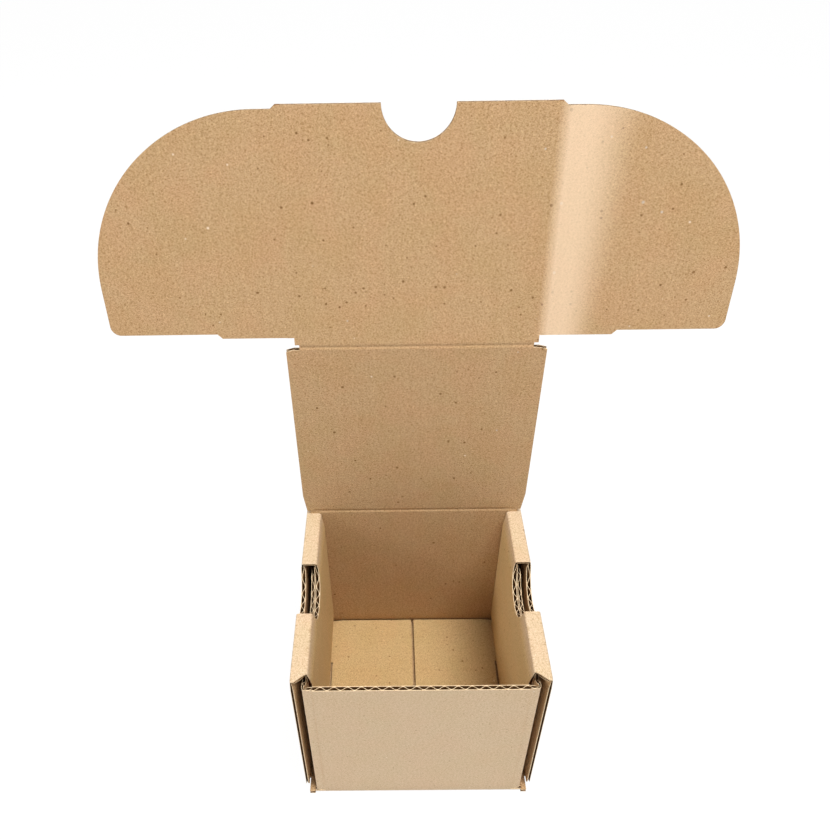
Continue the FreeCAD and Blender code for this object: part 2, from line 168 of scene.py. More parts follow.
class SheetMesh:
    """Gathers closed plates of flat-sheet coordinates into one mesh."""

    def __init__(self):
        self.points, self.maps, self.quads, self.marks = [], [], [], []
        self.count = 0

    def plate(self, u, v, low, high, place, marks):
        """Closed plate over the grid (u, v) from offset low to offset high.

        Each grid point gives two points, place(u, v, low) and place(u, v, high).
        The faces are the grid's cells on both sides and a strip round the rim.
        Points that fall together are merged, and cells without area go. Marks
        are the material numbers of the high side, the low side and the rim.
        """
        rows, columns = u.shape
        total = rows * columns
        points = np.concatenate([place(u, v, np.broadcast_to(high, u.shape)).reshape(-1, 3),
                                 place(u, v, np.broadcast_to(low, u.shape)).reshape(-1, 3)])
        grid = np.arange(total).reshape(rows, columns)
        cells = np.stack([grid[:-1, :-1], grid[1:, :-1], grid[1:, 1:], grid[:-1, 1:]], -1)
        cells = cells.reshape(-1, 4)
        rim = np.concatenate([grid[:-1, 0], grid[-1, :-1], grid[:0:-1, -1], grid[0, :0:-1]])
        after = np.roll(rim, -1)
        strip = np.stack([rim, rim + total, after + total, after], -1)
        quads = np.concatenate([cells, cells[:, ::-1] + total, strip])
        mark = np.concatenate([np.full(len(cells), marks[0]), np.full(len(cells), marks[1]),
                               np.full(len(strip), marks[2])])
        corner = points[quads]
        volume = (np.einsum("ij,ij->i", corner[:, 0], np.cross(corner[:, 1], corner[:, 2]))
                  + np.einsum("ij,ij->i", corner[:, 0], np.cross(corner[:, 2], corner[:, 3])))
        if volume.sum() < 0:
            quads = quads[:, ::-1]
        keys, first, inverse = np.unique(np.round(points, 4), axis=0, return_index=True,
                                         return_inverse=True)
        self.points.append(points[first])
        flat = np.stack([u.ravel(), v.ravel()], -1)
        self.maps.append(np.concatenate([flat, flat])[first])
        self.quads.append(inverse.reshape(-1)[quads] + self.count)
        self.marks.append(mark)
        self.count += len(first)

    def build(self, name, materials):
        """One mesh object in metres. A cell with two equal corners is a triangle."""
        points = np.concatenate(self.points) * MM
        maps = np.concatenate(self.maps) * MM
        quads, marks = np.concatenate(self.quads), np.concatenate(self.marks)
        same = quads == np.roll(quads, -1, axis=1)
        whole = same.sum(1) == 0
        single = same.sum(1) == 1
        whole &= (quads[:, 0] != quads[:, 2]) & (quads[:, 1] != quads[:, 3])
        threes = quads[single][~same[single]].reshape(-1, 3)
        loops = np.concatenate([quads[whole].ravel(), threes.ravel()])
        sizes = np.concatenate([np.full(whole.sum(), 4), np.full(len(threes), 3)])
        mark = np.concatenate([marks[whole], marks[single]])
        mesh = bpy.data.meshes.new(name)
        mesh.vertices.add(len(points))
        mesh.vertices.foreach_set("co", points.astype(np.float32).ravel())
        mesh.loops.add(len(loops))
        mesh.loops.foreach_set("vertex_index", loops.astype(np.int32))
        mesh.polygons.add(len(sizes))
        mesh.polygons.foreach_set("loop_start",
                                  np.concatenate([[0], np.cumsum(sizes)[:-1]]).astype(np.int32))
        mesh.polygons.foreach_set("material_index", mark.astype(np.int32))
        mesh.polygons.foreach_set("use_smooth", np.ones(len(sizes), bool))
        layer = mesh.uv_layers.new(name="sheet")
        layer.data.foreach_set("uv", maps[loops].astype(np.float32).ravel())
        mesh.update(calc_edges=True)
        mesh.validate()
        mesh.set_sharp_from_angle(angle=math.radians(38))
        for material in materials:
            mesh.materials.append(material)
        piece = bpy.data.objects.new(name, mesh)
        bpy.context.scene.collection.objects.link(piece)
        return piece


class FoldLine:
    """Mid-thickness line of a folded sheet: straight runs joined by arcs.

    Corners are points of a plane, radii are those of the arcs at the inner
    corners. Turn +1 puts the sheet's outer face on the right of the line,
    and -1 on the left. At each sharp fold the board is pressed thin: offsets
    shrink by a share that fades with the distance, more on the hollow side.
    """

    def __init__(self, corners, radii, turn=1, steps=8):
        corners = [np.array(c, float) for c in corners]
        points, self.folds = [corners[0]], []
        for before, here, after, radius in zip(corners, corners[1:], corners[2:], radii):
            into = (here - before) / np.linalg.norm(here - before)
            out = (after - here) / np.linalg.norm(after - here)
            angle = math.acos(np.clip(into @ out, -1, 1))
            reach = radius * math.tan(angle / 2)
            start, way = here - into * reach, np.sign(into[0] * out[1] - into[1] * out[0])
            centre = start + way * radius * np.array([-into[1], into[0]])
            spin = way * np.linspace(0, angle, steps + 1)
            arm = start - centre
            points += list(centre + np.stack([arm[0] * np.cos(spin) - arm[1] * np.sin(spin),
                                              arm[0] * np.sin(spin) + arm[1] * np.cos(spin)], -1))
            if angle > 1:
                self.folds.append((points[-1 - steps // 2], way * turn))
        points.append(corners[-1])
        points = np.array(points)
        apart = np.linalg.norm(np.diff(points, axis=0), axis=1) > 1e-6
        self.points = points[np.concatenate([[True], apart])]
        step = np.linalg.norm(np.diff(self.points, axis=0), axis=1)
        self.at = np.concatenate([[0], np.cumsum(step)])
        tangent = np.gradient(self.points, self.at, axis=0)
        ends = np.diff(self.points, axis=0) / step[:, None]
        tangent[0], tangent[-1] = ends[0], ends[-1]
        straight = step > 3
        for side in (0, 1):     # a point at the end of a long run keeps the run's direction
            spots = np.nonzero(straight)[0] + side
            tangent[spots] = ends[np.nonzero(straight)[0]]
        tangent /= np.linalg.norm(tangent, axis=1)[:, None]
        self.normals = turn * np.stack([tangent[:, 1], -tangent[:, 0]], -1)
        self.end = self.at[-1]
        self.folds = [(self.at[np.linalg.norm(self.points - spot, axis=1).argmin()], side)
                      for spot, side in self.folds]

    def spot(self, length, offset):
        """Point at a length along the line, moved outwards by offset."""
        for fold, side in self.folds:
            share = np.where(offset * side > 0, FOLD_OUTER, FOLD_HOLLOW)
            offset = offset * (1 - share * np.exp(-((length - fold) / FOLD_REACH) ** 2))
        parts = [np.interp(length, self.at, self.points[:, i])
                 + offset * np.interp(length, self.at, self.normals[:, i]) for i in (0, 1)]
        return parts[0], parts[1]

    def rows(self, step=6.0):
        """Lengths of all its points, and of some between them on long runs."""
        runs = [np.linspace(a, b, max(int((b - a) / step), 1) + 1)[:-1]
                for a, b in zip(self.at[:-1], self.at[1:])]
        return np.concatenate(runs + [[self.end]])


def columns(start, end, extra=()):
    """Positions across the waves, twelve to a wave, with the extra ones added."""
    step = bpy.context.scene.board_sizes.pitch / MM / 12
    spots = np.linspace(start, end, max(int(round((end - start) / step)), 2) + 1)
    return np.unique(np.round(np.concatenate([spots, np.asarray(extra, float)]), 5))


def round_steps(centre, radius, count=24):
    """Positions that follow a half round evenly: centre minus radius times cosine."""
    return centre - radius * np.cos(np.linspace(0, math.pi, count + 1))


def corrugated(mesh, across, low, high, place, rows=None, count=14, inside=0, outside=1):
    """Board over the columns across, from low to high along the waves.

    Outer liner and inner liner are plates at the two faces. The middle layer is
    a plate whose offset is the amplitude times the cosine of the position
    across. The liners sink a little between its crests. With rows given, they
    are clamped between low and high, and otherwise spread evenly.
    """
    sizes = bpy.context.scene.board_sizes
    liner, middle, pitch = sizes.liner / MM, sizes.middle / MM, sizes.pitch / MM
    low = np.broadcast_to(np.asarray(low, float), across.shape)
    high = np.broadcast_to(np.asarray(high, float), across.shape)
    if rows is None:
        share = np.linspace(0, 1, count)
        along = low[:, None] + (high - low)[:, None] * share[None, :]
    else:
        kept = rows[(rows > low.min() - 1e-6) & (rows < high.max() + 1e-6)]
        kept = np.concatenate([[low.min()], kept, [high.max()]])
        along = np.clip(kept[None, :], low[:, None], high[:, None])
    u = np.broadcast_to(across[:, None], along.shape)
    phase = 2 * math.pi * (u - 1.2) / pitch
    sink = sizes.washboard / MM
    mesh.plate(u, along, HALF - liner, HALF - sink * (0.5 - 0.5 * np.cos(phase)), place,
               (outside, 3, 2))
    mesh.plate(u, along, -HALF + sink * (0.5 + 0.5 * np.cos(phase)), -HALF + liner, place,
               (3, inside, 2))
    swing = (HALF - liner - middle / 2) * np.cos(phase)
    mesh.plate(u, along, swing - middle / 2, swing + middle / 2, place, (3, 3, 2))


def upright_place(line):
    """Sheet carried along X: (x, length along the line, offset)."""
    def place(u, v, offset):
        y, z = line.spot(v, offset)
        return np.stack([u, y, z], -1)
    return place


def flap_place(u, v, offset):
    """Flap's plane: v up the slope from the crease, offset towards the back."""
    return np.stack([u, HINGE_Y + v * math.sin(FLAP_TILT) + offset * math.cos(FLAP_TILT),
                     CREASE_Z + v * math.cos(FLAP_TILT) - offset * math.sin(FLAP_TILT)], -1)


def lid_place(u, v, offset):
    """Upright lid: v is the height, offset towards the back."""
    return np.stack([u, HINGE_Y + offset, v], -1)


def cutout_height(y):
    """Height of the half-round cutout's edge at depth y."""
    return TOP - np.sqrt(np.maximum(CUT_R ** 2 - (y - CUT_Y) ** 2, 0))


def finish_piece(piece, body, *nodes):
    """Ties a piece to the body that it moves with, and hides the solids that it stands for."""
    if body:
        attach(piece, body)
    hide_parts(*nodes)


# Materials

def node(tree, kind, inputs=(), **settings):
    """New node with its settings, and its inputs set or linked by name or number."""
    made = tree.nodes.new(kind)
    for key, value in settings.items():
        setattr(made, key, value)
    for key, value in dict(inputs).items():
        if isinstance(value, bpy.types.NodeSocket):
            tree.links.new(value, made.inputs[key])
        else:
            made.inputs[key].default_value = value
    return made


def mix_colour(tree, share, one, other, blend="MIX"):
    """Colour mixed from two by a share, each a value or a socket."""
    return node(tree, "ShaderNodeMix", {0: share, 6: one, 7: other}, data_type="RGBA",
                blend_type=blend).outputs[2]


def band(tree, value, low, high, to_low=0.0, to_high=1.0):
    """Value spread from low..high to another range, and held inside it."""
    return node(tree, "ShaderNodeMapRange", {0: value, 1: low, 2: high, 3: to_low, 4: to_high},
                clamp=True).outputs[0]


def kraft_group():
    """Kraft paper: broad blotches, fine mottle, pale and dark fibres, dark specks.

    Gives a colour round the one put in, and a height for the bump.
    """
    tree = bpy.data.node_groups.new("kraft_fibres", "ShaderNodeTree")
    face = tree.interface
    face.new_socket("Colour", in_out="INPUT", socket_type="NodeSocketColor")
    face.new_socket("Strength", in_out="INPUT", socket_type="NodeSocketFloat").default_value = 1
    face.new_socket("Colour", in_out="OUTPUT", socket_type="NodeSocketColor")
    face.new_socket("Height", in_out="OUTPUT", socket_type="NodeSocketFloat")
    given = tree.nodes.new("NodeGroupInput")
    spot = tree.nodes.new("ShaderNodeTexCoord").outputs["Object"]

    def noise(scale, detail=3.0, rough=0.5, distort=0.0, shift=0.0):
        moved = node(tree, "ShaderNodeVectorMath", {0: spot, 1: (shift, shift * 0.7, -shift)},
                     operation="ADD").outputs[0]
        return node(tree, "ShaderNodeTexNoise", {
            "Vector": moved, "Scale": scale, "Detail": detail, "Roughness": rough,
            "Distortion": distort}).outputs["Fac"]

    def times(one, other):
        return node(tree, "ShaderNodeMath", {0: one, 1: other}, operation="MULTIPLY").outputs[0]

    strength = given.outputs["Strength"]
    colour = given.outputs["Colour"]
    sheet = node(tree, "ShaderNodeUVMap", uv_map="sheet").outputs[0]

    def tinted(tone, mask, share, tint):
        return mix_colour(tree, times(mask, times(strength, share)), tone, (*tint, 1), "MULTIPLY")

    def dashes(angle, long, short, keep, shift):
        """Short straight fibres: a noise stretched along one way of the sheet, cut high."""
        turned = node(tree, "ShaderNodeMapping", {0: sheet, 1: (shift, -shift, 0),
                                                  2: (0, 0, math.radians(angle))}).outputs[0]
        drawn = node(tree, "ShaderNodeVectorMath", {0: turned, 1: (long, short, 1)},
                     operation="MULTIPLY").outputs[0]
        grain = node(tree, "ShaderNodeTexNoise", {"Vector": drawn, "Scale": 1.0, "Detail": 1.0,
                                                  "Roughness": 0.4}, noise_dimensions="2D")
        return band(tree, grain.outputs["Fac"], keep, keep + 0.05)

    blotch = band(tree, noise(60, 2.0, 0.5, 0.4), 0.4, 0.64)
    yellow = band(tree, noise(55, 2.0, 0.5, 0.3, 3.1), 0.42, 0.7)
    tone = tinted(colour, blotch, 0.75, (1.03, 0.965, 0.96))
    tone = tinted(tone, yellow, 0.75, (0.95, 0.96, 0.89))
    mottle = noise(2300, 2.0, 0.6, 0.3, 1.3)
    tone = tinted(tone, band(tree, mottle, 0.5, 0.72), 0.45, (0.82, 0.79, 0.72))
    tone = tinted(tone, band(tree, mottle, 0.5, 0.3), 0.4, (1.12, 1.13, 1.15))
    pale = dashes(28, 720, 4000, 0.63, 0.013)
    for angle, keep, shift in ((-38, 0.60, 0.021), (52, 0.62, 0.034), (10, 0.64, 0.047)):
        tone = tinted(tone, dashes(angle, 780, 4200, keep + 0.01, shift), 1.0, (0.66, 0.58, 0.46))
    for mask in (pale, dashes(-60, 720, 3900, 0.65, 0.055)):
        tone = tinted(tone, mask, 1.0, (1.22, 1.25, 1.30))
    cells = node(tree, "ShaderNodeTexVoronoi", {"Vector": spot, "Scale": 230.0,
                                                "Randomness": 1.0})
    pick = node(tree, "ShaderNodeSeparateColor", {0: cells.outputs["Color"]})
    size = band(tree, pick.outputs[1], 0.0, 1.0, 0.05, 0.16)
    near = node(tree, "ShaderNodeMath", {0: cells.outputs["Distance"], 1: size},
                operation="LESS_THAN").outputs[0]
    tone = tinted(tone, times(near, band(tree, pick.outputs[0], 0.5, 0.52)), 1.0,
                  (0.42, 0.32, 0.2))
    bright = times(near, band(tree, pick.outputs[2], 0.93, 0.94))
    tone = mix_colour(tree, times(bright, 0.4), tone, (1.0, 0.9, 0.76, 1))
    height = node(tree, "ShaderNodeMath", {0: times(mottle, -0.8), 1: times(pale, 0.4)},
                  operation="ADD").outputs[0]
    result = tree.nodes.new("NodeGroupOutput")
    tree.links.new(tone, result.inputs["Colour"])
    tree.links.new(height, result.inputs["Height"])
    return tree


def paper(name, colour, strength, bump, roughness=0.78, streaks=0.0, painted_inside_shade=None, pale=False):
    """Paper finish: kraft pattern, fine bump, low sheen. Streaks darken along the waves.

    Where the sheet is rolled to the inside, a tint darkens and yellows it: painted shade of
    the box's inside. Pale paints a sheen on the paper beside the crease of the bent ear:
    a painted highlight in a band that widens upwards.
    """
    material = bpy.data.materials.new(name)
    material.use_nodes = True
    tree = material.node_tree
    shader = tree.nodes["Principled BSDF"]
    group = bpy.data.node_groups.get("kraft_fibres") or kraft_group()
    fibre = node(tree, "ShaderNodeGroup", {}, node_tree=group)
    fibre.inputs["Colour"].default_value = (*colour, 1)
    fibre.inputs["Strength"].default_value = strength
    tone = fibre.outputs["Colour"]
    if streaks:
        flat = node(tree, "ShaderNodeUVMap", uv_map="sheet").outputs[0]
        stretched = node(tree, "ShaderNodeMapping", {0: flat, 3: (520.0, 14.0, 1.0)}).outputs[0]
        lines = node(tree, "ShaderNodeTexNoise", {"Vector": stretched, "Scale": 1.0,
                                                  "Detail": 3.0}).outputs["Fac"]
        tone = mix_colour(tree, band(tree, lines, 0.42, 0.72, 0.0, streaks), tone,
                          (0.86, 0.82, 0.75, 1), "MULTIPLY")
    if painted_inside_shade or pale:
        flat = node(tree, "ShaderNodeUVMap", uv_map="sheet").outputs[0]
        apart = node(tree, "ShaderNodeSeparateXYZ", {0: flat})
    # Painted shade: past the hem the sheet is darkened and yellowed, standing in for the dimmer
    # light inside the box.
    if painted_inside_shade:
        tone = mix_colour(tree, band(tree, apart.outputs[1], 0.114, 0.122), tone, (*painted_inside_shade, 1),
                          "MULTIPLY")
    # Painted sheen: a pale band beside the ear's crease, widening upwards, stands in for light
    # catching the bent ear.
    if pale:
        wide = band(tree, apart.outputs[1], 0, FLAP_LENGTH * MM, 0.082, 0.093)
        fade = node(tree, "ShaderNodeMapRange", {0: apart.outputs[0], 1: 0.066, 2: wide,
                                                 3: 1.0, 4: 0.0},
                    interpolation_type="SMOOTHSTEP").outputs[0]
        share = node(tree, "ShaderNodeMath", {0: fade, 1: band(
            tree, apart.outputs[0], 0.0550, 0.0600, 0.0, 0.52)}, operation="MULTIPLY").outputs[0]
        tone = mix_colour(tree, share, tone, (0.97, 0.74, 0.52, 1))
    tree.links.new(tone, shader.inputs["Base Color"])
    bumped = node(tree, "ShaderNodeBump", {"Strength": 0.55, "Distance": bump,
                                           "Height": fibre.outputs["Height"]})
    tree.links.new(bumped.outputs[0], shader.inputs["Normal"])
    shader.inputs["Roughness"].default_value = roughness
    shader.inputs["Specular IOR Level"].default_value = 0.25
    return material


def board_materials():
    """Inner liner, outer liner, cut edge and wave, made once."""
    colours = bpy.context.scene.board_colours
    names = ("kraft_inside", "kraft_outside", "cut_edge", "wave_paper")
    if not bpy.data.materials.get(names[0]):
        paper(names[0], colours.inside, 0.9, 0.00012, streaks=0.25)
        paper(names[1], colours.outside, 0.48, 0.00007, streaks=0.12)
        paper(names[2], colours.cut_edge, 0.5, 0.00006, 0.9)
        paper(names[3], colours.wave, 0.7, 0.00008, 0.9)
        # Side walls' outer liner, with painted shade where the sheet rolls into the box.
        paper("kraft_rolled_painted_shade", colours.outside, 0.7, 0.00007, streaks=0.12,
              painted_inside_shade=(0.96, 0.9, 0.66))
        # Right ear's inner liner, with a painted sheen beside its crease.
        paper("kraft_painted_sheen", colours.inside, 0.9, 0.00012, streaks=0.25, pale=True)
    return [bpy.data.materials[name] for name in names]


# Pieces

def side_roll(hand):
    """Outer panel, hem, inner panel and floor flap of one side as one folded sheet."""
    line = FoldLine(ROLL_LINE, ROLL_RADII)
    x, z = line.points[:, 0], line.points[:, 1]
    peak = int(np.argmax(z))
    up, down = slice(0, peak), slice(peak + 8, None)

    def outer_at(height):
        return np.interp(height, z[up], line.at[up])

    def inner_at(height):
        return np.interp(-height, -z[down], line.at[down])

    hem = (line.folds[1][0] + line.folds[2][0]) / 2

    def place(u, v, offset):
        """The board is pressed thin at its front edge, and gapes at the cutout's far end."""
        edge = 0.35 * np.exp(-(u - ROLL_FRONT) / EDGE_REACH)
        middle = np.clip(1 - np.abs(v - hem) / 3.2, 0, 1)
        beyond = np.maximum(u - CUT_Y - CUT_LIP, 0) + 99 * (u < CUT_Y)
        edge = edge - np.where(offset < 0, 0.75, 0) * np.sqrt(middle) * np.exp(-beyond / 2.5)
        across, height = line.spot(v, offset * (1 - edge))
        return np.stack([hand * across, u, height], -1)

    def hem_at(depth):
        """Length along the line where the slanted front end crosses the hem."""
        share = np.clip((depth - ROLL_FRONT) / (SLANT_BACK - ROLL_FRONT), 0, 1)
        hem = slice(peak, peak + 12)
        return np.interp(-(58.1 - share * 6.6), -x[hem], line.at[hem])

    rows = line.rows()
    foot, flap = inner_at(5.05), inner_at(FLOOR_Z + 1.2) + 2.6
    mesh = SheetMesh()

    def part(across, low, high):
        corrugated(mesh, across, low, high, place, rows)

    front = columns(ROLL_FRONT, SLANT_BACK, round_steps(-49, 3, 12)[:7])
    lower = outer_at(6 - np.sqrt(np.maximum(9 - np.minimum(front + 49, 0) ** 2, 0)))
    part(front, np.where(front < -49, lower, outer_at(WALL_LOW)), hem_at(front))
    part(front, inner_at(8.0), line.end)
    part(columns(SLANT_BACK, SLOT_FRONT), 0, line.end)
    for low, high in ((SLOT_FRONT, CUT_Y - CUT_LIP), (CUT_Y + CUT_LIP, SLOT_BACK)):
        part(columns(low, high), 0, foot)
        part(columns(low, high), flap, line.end)
    arc = columns(CUT_Y - CUT_LIP, CUT_Y + CUT_LIP, round_steps(CUT_Y, CUT_LIP))
    height = cutout_height(arc)
    part(arc, 0, outer_at(height))
    part(arc, inner_at(height), foot)
    part(arc, flap, line.end)
    part(columns(SLOT_BACK, ROLL_BACK), 0, line.end)
    part(columns(ROLL_BACK, BACK), outer_at(WALL_LOW), line.at[peak + 1])
    return mesh


class MAILER_OT_side_walls(bpy.types.Operator):
    """Makes the two rolled side walls with their hems, cutouts and floor flaps"""
    bl_idname = "mailer.side_walls"
    bl_label = "Side walls"

    def execute(self, context):
        for hand, word in ((-1, "left"), (1, "right")):
            piece = side_roll(hand).build(f"side_wall_{word}", board_materials())
            # Outer liner with painted shade on the part rolled into the box.
            piece.data.materials[1] = bpy.data.materials["kraft_rolled_painted_shade"]
            finish_piece(piece, "box", "box_base")
        return {"FINISHED"}


class MAILER_OT_end_walls(bpy.types.Operator):
    """Makes the front wall, the back wall, the bottom and the corner flaps"""
    bl_idname = "mailer.end_walls"
    bl_label = "End walls"

    def execute(self, context):
        walls = SheetMesh()
        front = FoldLine([(FRONT + HALF, FRONT_TOP), (FRONT + HALF, HALF), (-BOTTOM_Y, HALF)],
                         [BEND_R], turn=1)
        corrugated(walls, columns(-FRONT_HALF, FRONT_HALF), 0, front.end, upright_place(front),
                   front.rows())
        back = FoldLine([(HINGE_Y, HINGE_Z - STRIP), (HINGE_Y, HALF), (BOTTOM_Y, HALF)],
                        [BEND_R], turn=-1)
        corrugated(walls, columns(-BACK_HALF, BACK_HALF), 0, back.end, upright_place(back),
                   back.rows())
        for hand in (-1, 1):
            narrow = columns(*sorted((hand * FRONT_HALF, hand * FRONT_FOOT)))
            corrugated(walls, narrow, FRONT_TOP - 3, front.end, upright_place(front),
                       front.rows())
            narrow = columns(*sorted((hand * BACK_HALF, hand * BACK_FOOT)))
            corrugated(walls, narrow, HINGE_Z - STRIP - 3, back.end, upright_place(back),
                       back.rows())

        def bottom(u, v, offset):
            return np.stack([u, v, HALF - offset], -1)

        corrugated(walls, columns(-BOTTOM_X, BOTTOM_X), -BOTTOM_Y, BOTTOM_Y, bottom)
        for hand in (-1, 1):
            ends = sorted((hand * BOTTOM_X, hand * 58.1))
            corrugated(walls, columns(*ends), FRONT, SLANT_BACK + 0.3, bottom, count=3)
        finish_piece(walls.build("end_walls", board_materials()), "box", "box_base")

        flaps = SheetMesh()
        for hand in (-1, 1):
            for corners, turn, top in (
                    ([(FRONT_HALF, FRONT + HALF), (FRONT_FLAP_X, FRONT + HALF),
                      (FRONT_FLAP_X, FRONT_FLAP_END)], 1, None),
                    ([(BACK_HALF, HINGE_Y), (BACK_FLAP_X, HINGE_Y),
                      (BACK_FLAP_X, BACK_FLAP_END)], -1, BACK_FLAP_TOP)):
                line = FoldLine(corners, [0.5], turn=turn)
                begin = corners[0][0]

                def place(u, v, offset, line=line, hand=hand, begin=begin, top=top):
                    """The front flap is pressed thinner and stands off the inner panel."""
                    thin = 0.78 if top is None else 1
                    x, y = line.spot(u - begin, offset * thin)
                    off = 0.4 * np.clip((y + 52) / 12, 0, 1) if top is None else 0
                    return np.stack([hand * (x + off), y, v], -1)

                notch = round_steps(CUT_Y, 13.25)
                away = line.end - (FRONT_FLAP_END - notch) if top is None else ()
                across = columns(begin, begin + line.end,
                                 begin + np.concatenate([line.at, away]))
                y = line.spot(across - begin, 0)[1]
                if top is None:
                    high = np.interp(y, [-52.2, SLANT_BACK - 0.15], [FRONT_TOP, 97.35])
                    high = np.minimum(high, cutout_height(y))
                else:
                    high = np.interp(y, [52.3, 53.0], [top, HINGE_Z - STRIP])
                corrugated(flaps, across, WALL_LOW, high, place)
        finish_piece(flaps.build("corner_flaps", board_materials()), "box", "box_base")
        return {"FINISHED"}


class MAILER_OT_lid(bpy.types.Operator):
    """Makes the upright lid panel"""
    bl_idname = "mailer.lid"
    bl_label = "Lid"

    def execute(self, context):
        mesh = SheetMesh()
        low, high = HINGE_Z + STRIP, CREASE_Z - STRIP
        corrugated(mesh, columns(-LID_INNER, LID_INNER), low, high, lid_place)
        for hand in (-1, 1):
            narrow = columns(*sorted((hand * LID_INNER, hand * BACK_FOOT)))
            corrugated(mesh, narrow, low, LID_REST, lid_place)
            wing = columns(*sorted((hand * BACK_FOOT, hand * LID_HALF)),
                           extra=(hand * 57.4, hand * 59.5))
            out = np.abs(wing)
            corrugated(mesh, wing, np.interp(out, [59.5, LID_HALF], [107.1, 119.0]),
                       np.interp(out, [57.4, LID_HALF], [LID_REST, LID_REST - 1]), lid_place)
        finish_piece(mesh.build("lid", board_materials()), "lid", "lid_panel")
        return {"FINISHED"}


class MAILER_OT_front_flap(bpy.types.Operator):
    """Makes the front flap with its thumb notch"""
    bl_idname = "mailer.front_flap"
    bl_label = "Front flap"

    def execute(self, context):
        mesh = SheetMesh()
        inner = EAR_ROOT - STRIP
        across = columns(-inner, inner, round_steps(0, THUMB_R, 32))
        high = FLAP_LENGTH - np.sqrt(np.maximum(THUMB_R ** 2 - across ** 2, 0))
        corrugated(mesh, across, STRIP, high, flap_place, count=18)
        for hand in (-1, 1):
            ends = columns(*sorted((hand * inner, hand * EAR_ROOT)))
            corrugated(mesh, ends, 1.3, EAR_NEAR, flap_place, count=4)
        finish_piece(mesh.build("flap", board_materials()), "flap", "front_flap")
        return {"FINISHED"}


def ear_outline(out):
    """Near and far edge of an ear at a distance from the flap's middle.

    The near edge has a step and ends in a small round corner. The far edge is
    straight, then a large round.
    """
    low = np.interp(out, EAR_STEP, [EAR_NEAR, 7.2])
    corner = 11.7 - np.sqrt(np.maximum(EAR_TIP_R ** 2 - np.maximum(out - EAR_TIP, 0) ** 2, 0))
    low = np.where(out > EAR_TIP, corner, low)
    past = np.maximum(out - EAR_ROUND[0], 0)
    high = EAR_ROUND[1] + np.sqrt(np.maximum(EAR_ROUND_R ** 2 - past ** 2, 0))
    return low, high


class MAILER_OT_ears(bpy.types.Operator):
    """Makes the two rounded ears of the front flap"""
    bl_idname = "mailer.ears"
    bl_label = "Ears"

    def execute(self, context):
        bend = context.scene.board_sizes.ear_bend / MM
        for hand, word in ((-1, "left"), (1, "right")):
            mesh = SheetMesh()
            far = EAR_TIP + EAR_TIP_R * np.sin(np.linspace(0, math.pi / 2, 14))
            out = columns(EAR_ROOT + STRIP, EAR_FAR, np.concatenate([far, EAR_STEP]))

            def place(u, v, offset, hand=hand):
                """The board bows a little, and is thinner away from the crease."""
                away = np.maximum(np.abs(u) - EAR_ROOT - STRIP, 0)
                bow = bend * (1 - np.exp(-away / 10)) if hand > 0 else bend * 0.2 * away / 84
                thin = EAR_THIN * (1 - np.exp(-away / EAR_THIN_REACH))
                thin = thin + 0.2 * np.exp(-(EAR_FAR - np.abs(u)) / EDGE_REACH)
                return flap_place(u, v, offset * (1 - thin) - bow)

            across = out if hand > 0 else -out[::-1]
            low, high = ear_outline(np.abs(across))
            corrugated(mesh, across, low, high, place, count=22)
            piece = mesh.build(f"ear_{word}_board", board_materials())
            if hand > 0:
                # Paper with a painted sheen beside the crease.
                piece.data.materials[0] = bpy.data.materials["kraft_painted_sheen"]
            finish_piece(piece, f"{word}_ear", f"ear_{word}")
        return {"FINISHED"}


